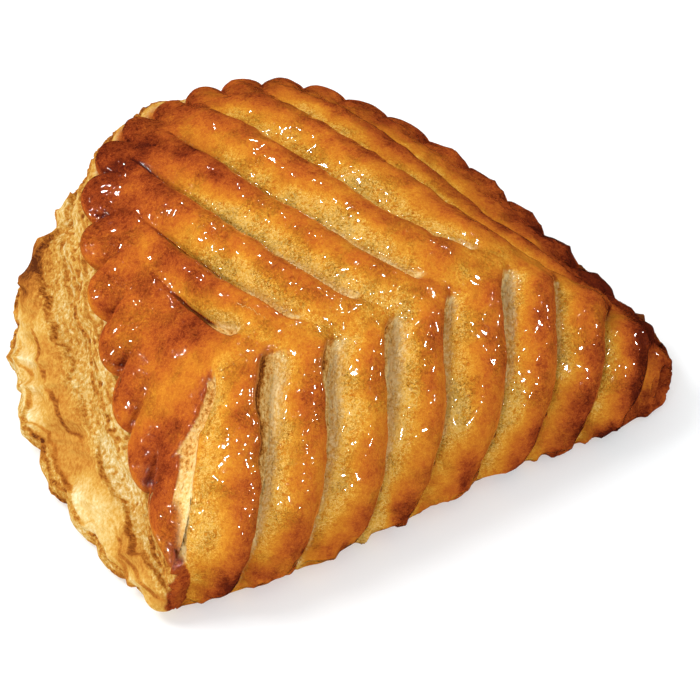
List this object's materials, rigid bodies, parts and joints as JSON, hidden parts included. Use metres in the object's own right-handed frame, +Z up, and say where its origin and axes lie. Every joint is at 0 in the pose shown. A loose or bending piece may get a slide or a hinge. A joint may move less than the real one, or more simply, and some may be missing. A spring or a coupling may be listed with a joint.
{
  "type": "apple turnover",
  "caption": "Half-moon apple turnover in glazed puff pastry, with a leaf pattern cut in its domed top and a scalloped, layered round edge",
  "frame": {"origin": "centre of the underside's bounding box, on the table", "axes": "+X along the fold, +Y from the fold to the round edge, +Z up"},
  "size_m": [0.1306, 0.1166, 0.0507],
  "materials": {
    "baked_crust": "glazed golden-brown puff pastry"
  },
  "bodies": {
    "root": {"apple_turnover": "baked_crust"}
  },
  "joints": []
}
